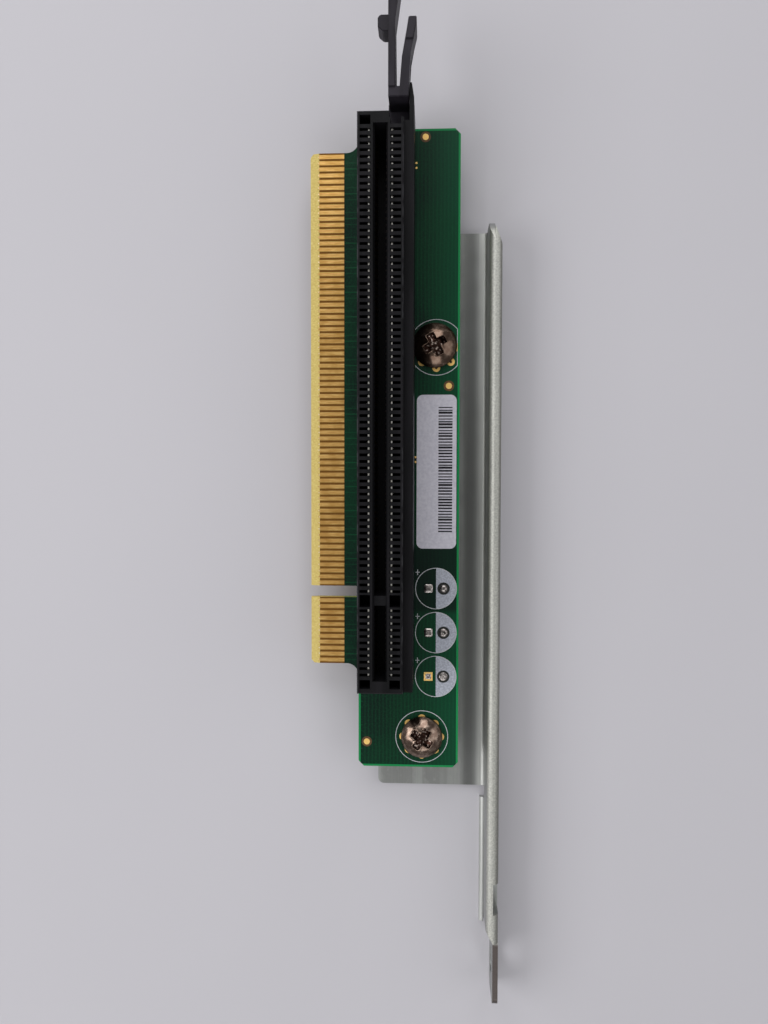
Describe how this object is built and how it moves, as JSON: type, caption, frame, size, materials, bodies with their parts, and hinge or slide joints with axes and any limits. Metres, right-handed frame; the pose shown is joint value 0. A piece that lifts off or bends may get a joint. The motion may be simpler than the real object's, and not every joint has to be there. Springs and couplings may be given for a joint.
{
  "type": "server riser card with bracket",
  "caption": "Riser card: keyed gold card edge, full-length card slot with latch on its face, and a folded steel bracket stood off behind.",
  "frame": {"origin": "on the underside of the bracket's flange, below the middle plane of the card slot and level with the key of the connector", "axes": "+X from the gold card edge to the bracket's wall, +Y towards the slot's latch, +Z out of the board's component face"},
  "size_m": [0.0314, 0.1633, 0.0178],
  "materials": {
    "solder_mask": "satin green solder mask over glass-fibre board",
    "gold_plate": "satin gold plating",
    "solder": "satin tin-lead solder",
    "label_paper": "semi-matt coated paper",
    "slot_plastic": "moulded glass-filled plastic, low sheen",
    "contact_alloy": "gold-flashed spring alloy",
    "latch_plastic": "moulded plastic, low sheen",
    "galvanised_sheet": "zinc-coated sheet, fine spangle",
    "standoff_steel": "zinc-plated, turned",
    "screw_nickel": "bright nickel plate, slightly worn"
  },
  "bodies": {
    "root": {"circuit_board": "solder_mask", "front_fingers_long": "gold_plate", "front_fingers_short": "gold_plate", "rear_fingers_long": "gold_plate", "rear_fingers_short": "gold_plate", "upper_screw_land": "gold_plate", "lower_screw_land": "gold_plate", "square_solder_lands": "solder", "round_solder_lands": "solder", "fiducial_dots": "gold_plate", "chip_lands": "gold_plate", "serial_label": "label_paper", "slot_housing": "slot_plastic", "slot_contacts_left_long": "contact_alloy", "slot_contacts_left_short": "contact_alloy", "slot_contacts_right_long": "contact_alloy", "slot_contacts_right_short": "contact_alloy", "solder_joints_left": "solder", "solder_joints_right": "solder", "retention_latch": "latch_plastic", "riser_bracket": "galvanised_sheet", "upper_standoff": "standoff_steel", "lower_standoff": "standoff_steel", "upper_board_screw": "screw_nickel", "lower_board_screw": "screw_nickel"}
  },
  "joints": []
}
